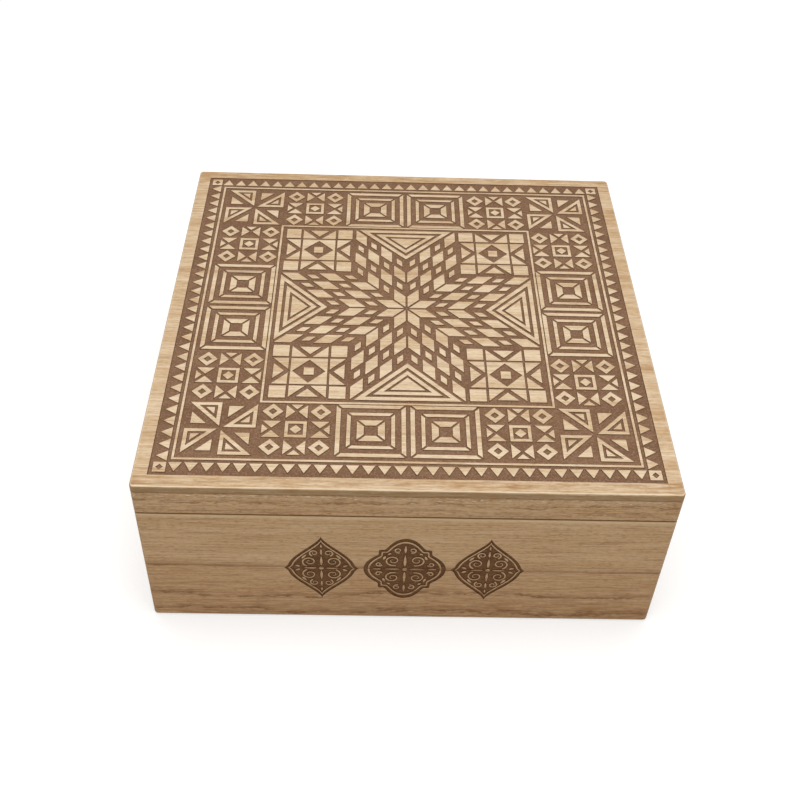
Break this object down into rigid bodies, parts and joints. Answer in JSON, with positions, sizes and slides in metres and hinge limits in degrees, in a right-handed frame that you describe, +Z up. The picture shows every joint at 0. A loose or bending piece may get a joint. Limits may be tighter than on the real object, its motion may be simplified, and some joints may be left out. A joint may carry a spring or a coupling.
{
  "type": "hinged wooden storage box",
  "caption": "Square wooden storage box with a hinged framed lid, mitred walls and a grid of half-lapped dividers inside.",
  "frame": {"origin": "middle of the underside, on the surface that the box stands on", "axes": "+Z up, -Y towards the front with the engraved marks, +X to the right seen from the front; the lid hinges on an X axis at the back"},
  "size_m": [0.24, 0.24, 0.095],
  "materials": {
    "sanded_paulownia": "sanded, unvarnished",
    "plywood": "sanded birch-faced plywood",
    "brass": "drawn and polished"
  },
  "bodies": {
    "box": {"base_panel": "plywood", "front_wall": "sanded_paulownia", "right_wall": "sanded_paulownia", "back_wall": "sanded_paulownia", "left_wall": "sanded_paulownia", "front_divider": "plywood", "rear_divider": "plywood", "left_divider": "plywood", "right_divider": "plywood", "left_hinge_box_leaf": "brass", "right_hinge_box_leaf": "brass", "left_hinge_pin": "brass", "right_hinge_pin": "brass", "box_hinge_screws": "brass"},
    "lid": {"lid_panel": "sanded_paulownia", "lid_front_rail": "sanded_paulownia", "lid_right_rail": "sanded_paulownia", "lid_back_rail": "sanded_paulownia", "lid_left_rail": "sanded_paulownia", "left_hinge_lid_leaf": "brass", "right_hinge_lid_leaf": "brass", "lid_hinge_screws": "brass"}
  },
  "joints": [
    {"name": "lid_hinge", "type": "hinge", "parent": "box", "child": "lid", "pos_m": [0, 0.1164, 0.077], "axis": [-1, 0, 0], "range_deg": [0, 100]}
  ]
}
